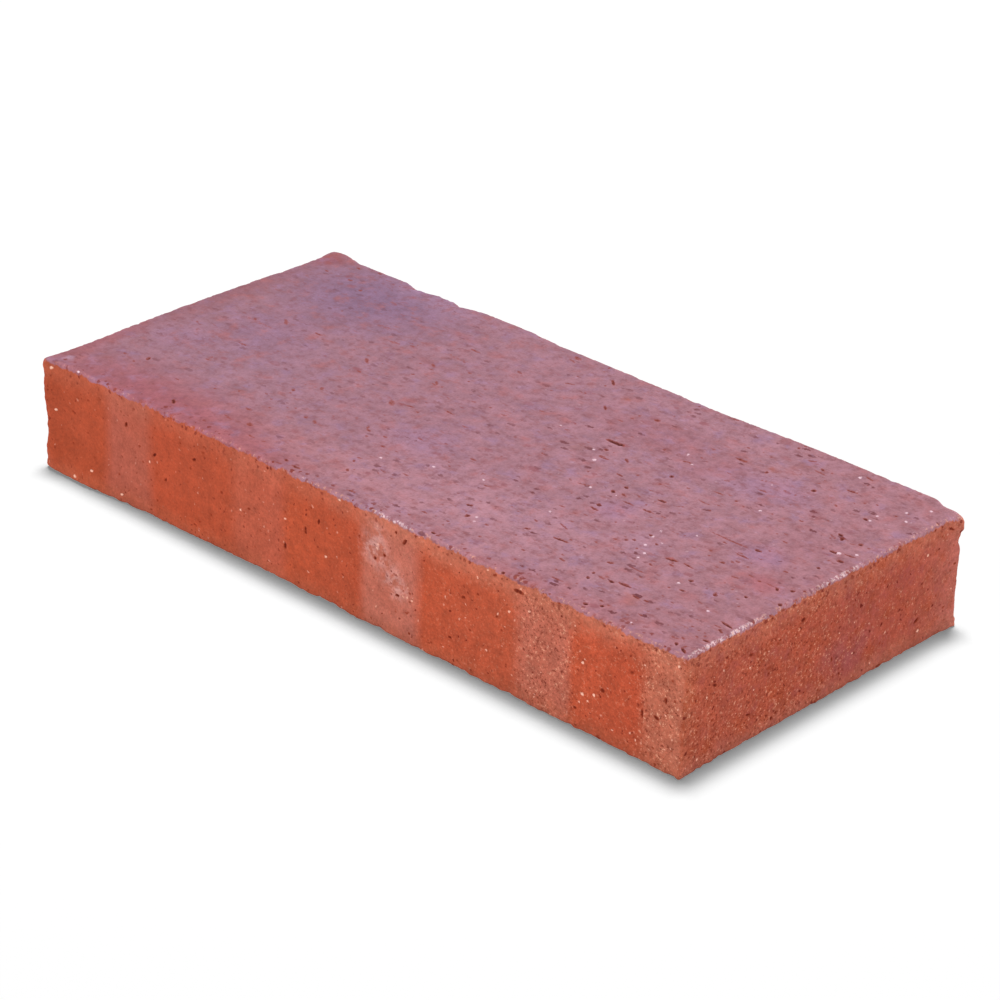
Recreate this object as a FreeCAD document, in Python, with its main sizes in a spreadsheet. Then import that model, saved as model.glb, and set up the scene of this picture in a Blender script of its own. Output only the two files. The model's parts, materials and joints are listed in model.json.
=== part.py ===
import FreeCAD, Part
import Sketcher
import os

# A thin paver of fired clay, 203 x 95 x 29 mm.
#
# A stiff column of clay is pushed through a die, cut to length with a wire, dried and fired.
# The paver leaves the kiln as one solid piece: soft arrises all round, little burrs and swellings
# where the wet corners were pushed about, and chips along the edges where the kiln car knocked it.
#
# Frame: the origin is the middle of the bed face, the face that lies on the sand.
# +X runs along the length, +Y across the width and +Z up to the wearing face.

doc = FreeCAD.newDocument("clay_paver")

# Driving dimensions, in millimetres: alias, value, what it is.
SIZES = (
    ("length", 203.0, "length of the paver"),
    ("width", 95.0, "width of the paver"),
    ("thickness", 29.0, "bed face to wearing face"),
    ("upright_round", 1.6, "radius of the four upright corners"),
    ("top_round", 0.9, "radius of the arris round the wearing face"),
    ("bed_round", 0.6, "radius of the arris round the bed face"),
)

# Swellings of clay that stand proud of a corner. Each is a part of an ellipsoid.
# name: (end of the length, side of the width, face it is measured from, sizes)
# inset_x, inset_y and inset_z put its middle inside the two sides and that face;
# half_x, half_y and half_z are its half axes, so it stands out by half less inset.
SWELLINGS = {
    "ear_left": (-1, 1, "top", {"inset_x": 3.4, "inset_y": 1.6, "inset_z": 1.4,
                                "half_x": 5.4, "half_y": 2.9, "half_z": 2.6}),
    "ear_right": (1, 1, "top", {"inset_x": 1.8, "inset_y": 4.2, "inset_z": 4.1,
                                "half_x": 2.6, "half_y": 4.9, "half_z": 3.8}),
    "corner_upper": (-1, -1, "top", {"inset_x": 3.4, "inset_y": 3.2, "inset_z": 8.0,
                                     "half_x": 4.7, "half_y": 3.7, "half_z": 7.5}),
    "corner_foot": (-1, -1, "bed", {"inset_x": 7.0, "inset_y": 1.8, "inset_z": 5.2,
                                    "half_x": 8.4, "half_y": 2.9, "half_z": 5.0}),
}

# Chips knocked out of the arrises. Each is the bite of an ellipsoid centred on the edge.
# name: (edge, sizes): place is measured along the edge from the middle of the paver,
# half_run is half the chip's length, bite its depth into the side and drop its depth from the face.
CHIPS = {
    "chip_back_outer": ("top_back", {"place": -68.0, "half_run": 3.6, "bite": 1.5, "drop": 0.9}),
    "chip_back_inner": ("top_back", {"place": -54.0, "half_run": 4.4, "bite": 1.4, "drop": 0.8}),
    "chip_end": ("top_left", {"place": -38.0, "half_run": 11.0, "bite": 1.1, "drop": 0.7}),
    "chip_foot": ("bed_front", {"place": -23.0, "half_run": 12.0, "bite": 0.9, "drop": 0.9}),
    "chip_foot_small": ("bed_front", {"place": 3.0, "half_run": 3.2, "bite": 0.9, "drop": 0.8}),
}


def make_sheet():
    """The spreadsheet that holds every size."""
    sheet = doc.addObject("Spreadsheet::Sheet", "sizes")
    rows = list(SIZES)
    for name, (_, _, _, swelling) in SWELLINGS.items():
        rows += [(f"{name}_{size}", value, f"{size} of {name}") for size, value in swelling.items()]
    for name, (_, chip) in CHIPS.items():
        rows += [(f"{name}_{size}", value, f"{size} of {name}") for size, value in chip.items()]
    for row, (alias, value, note) in enumerate(rows, start=1):
        sheet.set(f"A{row}", alias)
        sheet.set(f"B{row}", str(value))
        sheet.setAlias(f"B{row}", alias)
        sheet.set(f"C{row}", note)
    doc.recompute()
    return sheet


def origin_plane(body, role):
    """One of a body's own origin planes, such as XY_Plane."""
    for feature in body.Origin.OriginFeatures:
        if feature.Role == role:
            return feature
    raise RuntimeError("no plane " + role)


def outline_sketch(body):
    """The rectangle of the bed face, centred on the origin and fully constrained."""
    sketch = body.newObject("Sketcher::SketchObject", "bed_outline")
    sketch.AttachmentSupport = [(origin_plane(body, "XY_Plane"), "")]
    sketch.MapMode = "FlatFace"
    half_length = sizes.length / 2
    half_width = sizes.width / 2
    corners = [FreeCAD.Vector(x * half_length, y * half_width, 0)
               for x, y in ((-1, -1), (1, -1), (1, 1), (-1, 1))]
    for start, end in zip(corners, corners[1:] + corners[:1]):
        sketch.addGeometry(Part.LineSegment(start, end), False)
    front, right, back, left = range(4)
    first, last, middle = 1, 2, 3
    for side, following in ((front, right), (right, back), (back, left), (left, front)):
        sketch.addConstraint(Sketcher.Constraint("Coincident", side, last, following, first))
    for side in (front, back):
        sketch.addConstraint(Sketcher.Constraint("Horizontal", side))
    for side in (right, left):
        sketch.addConstraint(Sketcher.Constraint("Vertical", side))
    origin = (-1, 1)
    sketch.addConstraint(Sketcher.Constraint("Symmetric", front, first, back, first, *origin))
    length = sketch.addConstraint(Sketcher.Constraint("DistanceX", front, first, front, last, sizes.length))
    sketch.renameConstraint(length, "length")
    sketch.setExpression("Constraints.length", "sizes.length")
    width = sketch.addConstraint(Sketcher.Constraint("DistanceY", right, first, right, last, sizes.width))
    sketch.renameConstraint(width, "width")
    sketch.setExpression("Constraints.width", "sizes.width")
    return sketch


def edges_where(shape, test):
    """Names of the edges whose two ends both pass a test; a closed ring has one end."""
    return [f"Edge{number}" for number, edge in enumerate(shape.Edges, start=1)
            if test(*[vertex.Point for vertex in (edge.Vertexes[0], edge.Vertexes[-1])])]


def round_edges(body, name, base, edges, radius):
    """A fillet whose radius is a cell of the sheet."""
    fillet = body.newObject("PartDesign::Fillet", name)
    fillet.Base = (base, edges)
    fillet.setExpression("Radius", f"sizes.{radius}")
    doc.recompute()
    return fillet


def add_swelling(body, name):
    """A lump of clay pushed out at a corner."""
    end, side, face, _ = SWELLINGS[name]
    lump = body.newObject("PartDesign::AdditiveEllipsoid", name)
    x_sign = "" if end > 0 else "-"
    y_sign = "" if side > 0 else "-"
    lump.setExpression("Placement.Base.x", f"{x_sign}(sizes.length / 2 - sizes.{name}_inset_x)")
    lump.setExpression("Placement.Base.y", f"{y_sign}(sizes.width / 2 - sizes.{name}_inset_y)")
    height = f"sizes.{name}_inset_z"
    if face == "top":
        height = f"sizes.thickness - {height}"
    lump.setExpression("Placement.Base.z", height)
    for radius, size in (("Radius1", "half_z"), ("Radius2", "half_x"), ("Radius3", "half_y")):
        lump.setExpression(radius, f"sizes.{name}_{size}")
    doc.recompute()
    return lump


def cut_chip(body, name):
    """A chip out of an arris."""
    edge, _ = CHIPS[name]
    face, side = edge.split("_")
    chip = body.newObject("PartDesign::SubtractiveEllipsoid", name)
    chip.setExpression("Radius1", f"sizes.{name}_drop")
    if side == "left":
        chip.setExpression("Placement.Base.x", "-sizes.length / 2")
        chip.setExpression("Placement.Base.y", f"sizes.{name}_place")
        chip.setExpression("Radius2", f"sizes.{name}_bite")
        chip.setExpression("Radius3", f"sizes.{name}_half_run")
    else:
        sign = "" if side == "back" else "-"
        chip.setExpression("Placement.Base.x", f"sizes.{name}_place")
        chip.setExpression("Placement.Base.y", f"{sign}sizes.width / 2")
        chip.setExpression("Radius2", f"sizes.{name}_half_run")
        chip.setExpression("Radius3", f"sizes.{name}_bite")
    if face == "top":
        chip.setExpression("Placement.Base.z", "sizes.thickness")
    doc.recompute()
    return chip


def make_paver():
    """The whole paver: a slice of the clay column, its rounded arrises, swellings and chips."""
    body = doc.addObject("PartDesign::Body", "paver")
    body.Label = "paver"
    body.Placement = FreeCAD.Placement()

    slice_of_clay = body.newObject("PartDesign::Pad", "slice_of_clay")
    slice_of_clay.Profile = outline_sketch(body)
    slice_of_clay.setExpression("Length", "sizes.thickness")
    doc.recompute()

    near = 1e-4
    upright = edges_where(slice_of_clay.Shape, lambda a, b: abs(a.z - b.z) > near)
    corners = round_edges(body, "upright_corners", slice_of_clay, upright, "upright_round")
    top = edges_where(corners.Shape, lambda a, b: min(a.z, b.z) > sizes.thickness - near)
    top_arris = round_edges(body, "top_arris", corners, top, "top_round")
    bed = edges_where(top_arris.Shape, lambda a, b: max(a.z, b.z) < near)
    round_edges(body, "bed_arris", top_arris, bed, "bed_round")

    for name in SWELLINGS:
        before = body.Shape.Volume
        add_swelling(body, name)
        if body.Shape.Volume <= before:
            raise RuntimeError(name + " adds no clay")
    for name in CHIPS:
        before = body.Shape.Volume
        cut_chip(body, name)
        if body.Shape.Volume >= before:
            raise RuntimeError(name + " cuts nothing")
    return body


def check(body):
    """Stops the build if any feature failed or the paver isn't one valid solid."""
    for thing in doc.Objects:
        for fault in ("Invalid", "Error"):
            if fault in thing.State:
                raise RuntimeError(f"{thing.Name}: {thing.State}")
    shape = body.Shape
    if shape.isNull() or not shape.isValid() or len(shape.Solids) != 1:
        raise RuntimeError(body.Label + " isn't one valid solid")


sizes = make_sheet()
paver = make_paver()
doc.recompute()
check(paver)

os.makedirs("parts", exist_ok=True)
paver.Shape.exportStep(f"parts/{paver.Label}.step")
box = paver.Shape.BoundBox
print(f"{paver.Label}: {box.XLength:.2f} x {box.YLength:.2f} x {box.ZLength:.2f} mm,"
      f" {paver.Shape.Volume / 1000:.1f} cm3, {len(paver.Shape.Faces)} faces")
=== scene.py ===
# %% [markdown]
# # A thin paver of flashed, fired clay
# A stiff column of clay is pushed through a die and cut with a wire. The slice is dried, set on edge in
# the kiln among its neighbours, and fired. The face that meets the kiln gas flashes mauve, the sides stay
# orange-red, and paler bands on them show where the neighbours stood.
# This script takes the plain solid of the paver as its frame, wears its surface down in mesh code, and
# paints it with one node material. It thinks in millimetres, and turns them to metres at the end.

# %% Load the frame
import itertools
import math

import bpy
import numpy as np
from mathutils import Matrix, Vector
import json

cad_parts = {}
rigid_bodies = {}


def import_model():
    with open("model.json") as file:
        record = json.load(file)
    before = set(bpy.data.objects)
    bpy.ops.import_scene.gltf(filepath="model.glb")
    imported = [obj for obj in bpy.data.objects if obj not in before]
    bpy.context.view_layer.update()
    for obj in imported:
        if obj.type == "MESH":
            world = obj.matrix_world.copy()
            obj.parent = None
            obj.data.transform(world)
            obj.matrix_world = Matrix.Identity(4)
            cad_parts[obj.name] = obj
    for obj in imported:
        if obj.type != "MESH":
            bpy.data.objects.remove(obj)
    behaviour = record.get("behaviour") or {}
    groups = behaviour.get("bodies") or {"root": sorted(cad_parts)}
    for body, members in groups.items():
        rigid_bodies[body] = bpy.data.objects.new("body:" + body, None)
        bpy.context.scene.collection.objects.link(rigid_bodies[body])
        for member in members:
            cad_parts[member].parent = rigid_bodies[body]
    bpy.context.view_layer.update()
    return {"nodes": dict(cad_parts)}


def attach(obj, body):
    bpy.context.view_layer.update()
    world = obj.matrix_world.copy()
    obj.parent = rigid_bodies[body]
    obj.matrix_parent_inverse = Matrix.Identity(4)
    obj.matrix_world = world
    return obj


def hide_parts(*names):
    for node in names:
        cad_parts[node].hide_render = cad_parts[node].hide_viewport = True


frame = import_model()
MM = 0.001

# %% [markdown]
# ## The six flats
# The solid has burrs at its corners, so its box is a little larger than the paver itself. The flats are
# found instead: each is the area-weighted middle of the frame's faces that look straight one way.

# %% Measure the flats
cad = frame["nodes"]["paver"].data


def flat(axis, way):
    """Where the flat that looks one way along an axis lies, in mm."""
    straight = 0.9999
    faces = [face for face in cad.polygons if face.normal[axis] * way > straight]
    area = sum(face.area for face in faces)
    return sum(face.area * face.center[axis] for face in faces) / area / MM


LOW = np.array([flat(axis, -1) for axis in range(3)])
HIGH = np.array([flat(axis, 1) for axis in range(3)])
LEFT, FRONT, BED = LOW
RIGHT, BACK, TOP = HIGH
print("flats, mm:", LOW.round(2), HIGH.round(2))

# %% [markdown]
# ## The camera
# A camera is easiest to repeat when it is given the way a person sets one up: which way round the object
# it stands, how high, how far off, what it aims at, the lens, and how the body is tilted on its tripod.

# %% Set the camera
around, above, tilt = math.radians(42.74), math.radians(26.96), math.radians(-1.635)
distance = 0.7473
aim = Vector((0.0074, -0.0027, 0.0148))

forward = Vector((-math.sin(around) * math.cos(above), math.cos(around) * math.cos(above), -math.sin(above)))
level = forward.cross(Vector((0, 0, 1))).normalized()
right = level * math.cos(tilt) + forward.cross(level) * math.sin(tilt)
up = right.cross(forward)

camera = bpy.data.objects.new("camera", bpy.data.cameras.new("camera"))
camera.data.lens = 116.05
camera.data.sensor_width = 36
camera.data.clip_start = 0.01
turned = Matrix((right, up, -forward)).transposed().to_4x4()
camera.matrix_world = Matrix.Translation(aim - forward * distance) @ turned
bpy.context.scene.collection.objects.link(camera)
bpy.context.scene.camera = camera
print("camera at, mm:", [round(v / MM, 1) for v in camera.matrix_world.translation])

# %% [markdown]
# ## A skin to wear down
# Chips, slits and burrs need many small faces. A box could be subdivided with a modifier, or remeshed,
# but a lattice made here keeps every point's place known, so relief can be worked out as plain arithmetic.
# The skin is a closed sheet of square cells over the box, and every arris is then rounded by its own
# radius: a point is pulled in to the inner box, and pushed out again by the radius.

# %% Make the skin
PITCH = 0.3


def skin(low, high, pitch):
    """A closed skin of square cells over a box: its points, in mm, and its four-sided faces."""
    counts = np.round((high - low) / pitch).astype(np.int64)
    steps = counts + 1
    faces = []
    for axis in range(3):
        one, two = (axis + 1) % 3, (axis + 2) % 3
        first, second = np.meshgrid(np.arange(counts[one]), np.arange(counts[two]), indexing="ij")
        for side in (0, counts[axis]):
            ring = ((0, 0), (1, 0), (1, 1), (0, 1)) if side else ((0, 0), (0, 1), (1, 1), (1, 0))
            corners = []
            for step_one, step_two in ring:
                place = [None, None, None]
                place[axis] = np.full(first.shape, side)
                place[one] = first + step_one
                place[two] = second + step_two
                corners.append((place[0] * steps[1] + place[1]) * steps[2] + place[2])
            faces.append(np.stack(corners, -1).reshape(-1, 4))
    keys, numbered = np.unique(np.concatenate(faces), return_inverse=True)
    lattice = np.stack([keys // (steps[1] * steps[2]), keys // steps[2] % steps[1], keys % steps[2]], -1)
    return low + (high - low) * lattice / counts, numbered.reshape(-1, 4)


points, faces = skin(LOW, HIGH, PITCH)
print(len(points), "points,", len(faces), "faces")

# %% [markdown]
# Random but repeatable lumps drive everything that isn't placed by hand: a cubic lattice of random
# numbers, blended smoothly in between. The lump size is given in millimetres.

# %% Lumps and eases


def lumps(where, size, seed):
    """Smooth random lumps from -1 to 1, about `size` mm across."""
    mask = 0xFFFFFFFF
    cell = np.floor(where / size).astype(np.int64)
    part = where / size - cell
    part = part * part * (3 - 2 * part)
    total = np.zeros(len(where))
    for corner in itertools.product((0, 1), repeat=3):
        key = ((cell + corner) * (73856093, 19349663, 83492791)).sum(1) + seed * 9781
        key = key & mask
        key = ((key ^ (key >> 15)) * 2246822519) & mask
        key = ((key ^ (key >> 13)) * 3266489917) & mask
        share = np.prod(np.where(corner, part, 1 - part), axis=1)
        total += share * ((key ^ (key >> 16)) / mask * 2 - 1)
    return total


def ease(start, end, value):
    """0 before start, 1 after end, and a smooth step between."""
    step = np.clip((value - start) / (end - start), 0, 1)
    return step * step * (3 - 2 * step)


# %% [markdown]
# The die and the wire leave the arrises sharp, and handling softens them. A bevel modifier would give
# every arris one even radius. Here each has its own, in mm, and it wanders by about a third of itself.
# The back right corner of the wearing face took a knock, so it is rounder.

# %% Round the arrises
TOP_ROUND, BED_ROUND, UPRIGHT_ROUND = 0.7, 0.45, 1.2
KNOCK_ROUND = 2.4
x, y, z = points.T
radius = UPRIGHT_ROUND + (TOP_ROUND - UPRIGHT_ROUND) * ease(TOP - 3, TOP - 1, z)
radius += (BED_ROUND - UPRIGHT_ROUND) * ease(3, 1, z)
radius *= 1 + 0.3 * lumps(points, 9, 1) + 0.15 * lumps(points, 3, 2)
knocked_corner = (RIGHT, BACK, TOP)
radius += KNOCK_ROUND * ease(9, 1, np.linalg.norm(points - knocked_corner, axis=1))
radius = radius[:, None]
inner = np.clip(points, LOW + radius, HIGH - radius)
outward = points - inner
outward /= np.linalg.norm(outward, axis=1, keepdims=True)
depths = np.sort(np.minimum(points - LOW, HIGH - points), axis=1)
from_arris = depths[:, 1]
points = inner + outward * radius
flat_points = points.copy()
print("points within 2 mm of an arris:", int((from_arris < 2).sum()))

# %% [markdown]
# ## Clay that was pushed about
# Wet clay is soft, so the wire, the setting hands and the weight of the stack leave the outline uneven.
# The long back arris wanders in and out, the foot of the front lifts off the bed, and the corners swell
# into burrs. The lines below give a few places along an arris and how far it strays there, in mm.

# %% Bend the outline
BACK_LINE = (
    (-101, 0.4), (-92, 0.5), (-87, 0.7), (-74, 0.8), (-70, -0.2), (-66, -0.4), (-62, 0.7), (-57, 0.4),
    (-54, -0.7), (-50, 0.6), (-46, 1.3), (-30, 1.3), (-20, 0.4), (22, 0.2), (30, -0.2), (38, 0.2),
    (50, 0.7), (70, 0.8), (88, 0.6), (94.5, 0.5), (96.5, -0.6), (101, -0.6),
)
LEFT_LINE = ((-47, -0.6), (-30, -0.3), (-15, 0.4), (20, 0.4), (31, -0.3), (45, -0.3))
FOOT_LINE = (
    (-101, 0), (-60, 0), (-50, 0.1), (-38, 0.35), (-26, 0.65), (-14, 0.5), (-9, 0.2), (-5.5, 0.65),
    (2, 0.5), (4.5, 0), (12, 0.2), (25, 0.1), (35, 0.2), (50, 0.1), (53, 0.55), (57, 0.1), (68, 0),
    (73, 0.2), (86, 0), (101, 0),
)
FOOT_BULGE = ((-101, 1.2), (-97, 1.7), (-87, 1.8), (-80, 1.1), (-72, 0.4), (-64, 0))
PROUD = 0.3  # how far the wearing face springs back above its nominal height
CREST = TOP + PROUD


def line(places, along):
    """How far an arris strays at each place along it."""
    return np.interp(along, *zip(*places))


x, y, z = flat_points.T
stray = np.zeros_like(points)
upper = ease(0, TOP, z)
sway = 0.25 + 0.75 * upper  # the foot of a side strays a quarter as far as its top
stray[:, 2] += PROUD * upper
stray[:, 1] += line(BACK_LINE, x) * ease(BACK - 7, BACK - 0.5, y) * sway
stray[:, 0] -= line(LEFT_LINE, y) * ease(LEFT + 6, LEFT + 0.5, x) * sway
near_front = ease(FRONT + 7, FRONT + 0.5, y)
stray[:, 2] += line(FOOT_LINE, x) * near_front * ease(7, 0.5, z)
stray[:, 1] -= line(FOOT_BULGE, x) * near_front * ease(12, 3, z) * ease(-1, 1, z)
stray += outward * (0.10 * lumps(flat_points, 30, 3) + 0.05 * lumps(flat_points, 9, 4))[:, None]
print("outline strays by up to, mm:", np.abs(stray).max(0).round(2))

# %% [markdown]
# Two upright corners were pressed out by the hands that set the paver: the cheek at the front left and
# the neck at the back right. Each line gives how far the corner stands out at a height. The back left
# corner has a burr that the wire lifted, and the back right arris folded over as a small torn lip.

# %% Swell the corners
DIAGONAL = (0.74, 0.67)  # the way that both corners stand out, as shares of x and y
CHEEK_LINE = (
    (0, 0.2), (0.8, 0.3), (2.2, 0.3), (4.5, 0.7), (9, 0.7), (11.2, 1.1), (12.6, 0.9), (13.4, 0.9),
    (14.8, 1.3), (19, 1.5), (22, 1.6), (27, 1.7), (28.5, 1.2), (29, 0.8),
)
NECK_LINE = (
    (0, 0.9), (0.6, 1.0), (1.5, 0.75), (3, 0.65), (5, 0.5), (15, 0.5), (18.5, 0.7), (20, 0.7),
    (21.3, 0.4), (22.3, 0.6), (23.5, 1.2), (25, 1.7), (26.5, 1.9), (28, 1.8), (29, 1.5),
)
cheek = line(CHEEK_LINE, z) * ease(LEFT + 9, LEFT, x) * ease(FRONT + 9, FRONT, y)
stray[:, :2] -= cheek[:, None] * DIAGONAL
neck = line(NECK_LINE, z) * ease(RIGHT - 7, RIGHT, x) * ease(BACK - 7, BACK, y)
stray[:, :2] += neck[:, None] * DIAGONAL

# %% Lift the burr and fold the lip
BURR_MIDDLE, BURR_REACH, BURR_LIFT = (LEFT + 4, BACK - 1, TOP), (6.5, 6, 6), (0, 0.6, 0.7)
burr = np.clip(1 - (((flat_points - BURR_MIDDLE) / BURR_REACH) ** 2).sum(1), 0, 1)
stray += (burr ** 1.3)[:, None] * BURR_LIFT

FOLD_START, FOLD_LOOKS = (36, 28.9), (0.409, 0.913)  # y and z of a slanting crease, and the way it looks
above_fold = (y - FOLD_START[0]) * FOLD_LOOKS[0] + (z - FOLD_START[1]) * FOLD_LOOKS[1]
lip = ease(34, 42, y) * ease(RIGHT - 4, RIGHT, x)
swelling = 0.3 * ease(-0.6, 0.8, above_fold)
tear = 0.2 + 0.15 * lumps(flat_points, 1.3, 9)
stray[:, 0] += lip * (swelling - tear * np.exp(-((above_fold + 0.4) / 0.5) ** 2))
points += stray
print("furthest stray, mm:", np.abs(stray).max(0).round(2))

# %% [markdown]
# ## Chips, slits and pits
# Fired clay is brittle: grains fall out of the arrises, and the wire drags grit along the soft face and
# tears slits behind it. Each mark is a small hollow: a middle, half sizes and a depth. The marks that
# catch the eye are placed one by one, and hundreds of smaller ones are scattered from a seeded generator.

# %% Find points near a mark
order = np.argsort(flat_points[:, 0])
sorted_x = flat_points[order, 0]


def near(middle, reach):
    """The numbers of the points in a cube about a place."""
    first, last = np.searchsorted(sorted_x, (middle[0] - reach, middle[0] + reach))
    close = order[first:last]
    return close[np.abs(flat_points[close] - middle).max(1) < reach]


torn_and_shaded = np.zeros(len(points))
pale = np.zeros(len(points))
dent = np.zeros_like(points)

# %% Chip the arrises
random = np.random.default_rng(41)


def chip(middle, size, depth):
    """Takes a rounded bite out of an arris, towards the middle of the paver."""
    close = near(middle, size)
    away = flat_points[close] - middle
    nearness = np.clip(1 - (away ** 2).sum(1) / size ** 2, 0, 1)
    dent[close] -= outward[close] * (depth * nearness ** 0.8)[:, None]
    # A chip is marked a little as torn clay, so its hollow takes the redder, darker rim colour: partly
    # painted shade.
    torn_and_shaded[close] = np.maximum(torn_and_shaded[close], 0.3 * nearness)


# How many chips, their least and most reach in mm, and their depth as a share of the reach.
CHIPS = ((520, 0.4, 0.9, 0.17), (60, 1.0, 2.2, 0.10))
for count, least, most, depth in CHIPS:
    for _ in range(count):
        along = random.integers(3)
        middle = np.where(random.random(3) < 0.5, LOW, HIGH)
        middle[along] = random.uniform(LOW[along], HIGH[along])
        size = random.uniform(least, most)
        chip(middle, size, size * depth * random.uniform(0.5, 1.2))
print("chipped points:", int((torn_and_shaded > 0).sum()))

# %% [markdown]
# A slit, a pit and a standing grain are the same shape, a flat ellipse that leans, so one function makes
# all three. It works on one face at a time, which is given by the axis that the face looks along, the way
# it looks, and the two axes that lie across it.

# %% Make a mark
FACES = {
    "top": (2, 1, (0, 1)),
    "bed": (2, -1, (0, 1)),
    "front": (1, -1, (0, 2)),
    "back": (1, 1, (0, 2)),
    "right": (0, 1, (1, 2)),
    "left": (0, -1, (1, 2)),
}


def mark(face, across, up_place, half_length, half_width, depth, lean=0.0, darkness=1.0):
    """Tears a slit or pit where depth is positive, and stands a grain proud where it is negative."""
    axis, way, (one, two) = FACES[face]
    middle = np.zeros(3)
    middle[axis] = HIGH[axis] if way > 0 else LOW[axis]
    middle[one], middle[two] = across, up_place
    close = near(middle, half_length + 0.8)
    close = close[outward[close, axis] * way > 0.6]
    away = flat_points[close] - middle
    cosine, sine = math.cos(math.radians(lean)), math.sin(math.radians(lean))
    length = (away[:, one] * cosine + away[:, two] * sine) / half_length
    width = (away[:, two] * cosine - away[:, one] * sine) / half_width
    nearness = np.clip(1 - length ** 2 - width ** 2, 0, 1)
    dent[close] -= outward[close] * (depth * nearness ** 0.6)[:, None]
    # Slits and pits are marked to be painted dark red: the raw clay, and painted shade in the hollow.
    kind = torn_and_shaded if depth > 0 else pale
    kind[close] = np.maximum(kind[close], darkness * nearness ** 0.5)


# %% [markdown]
# The marks that catch the eye, face by face. Slits and pits have a place on the face (x and y on the
# wearing face, x and z on the front, y and z on the end), a half length, a half width and a depth in mm,
# and a lean in degrees. A grain has its place and half its size.

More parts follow.
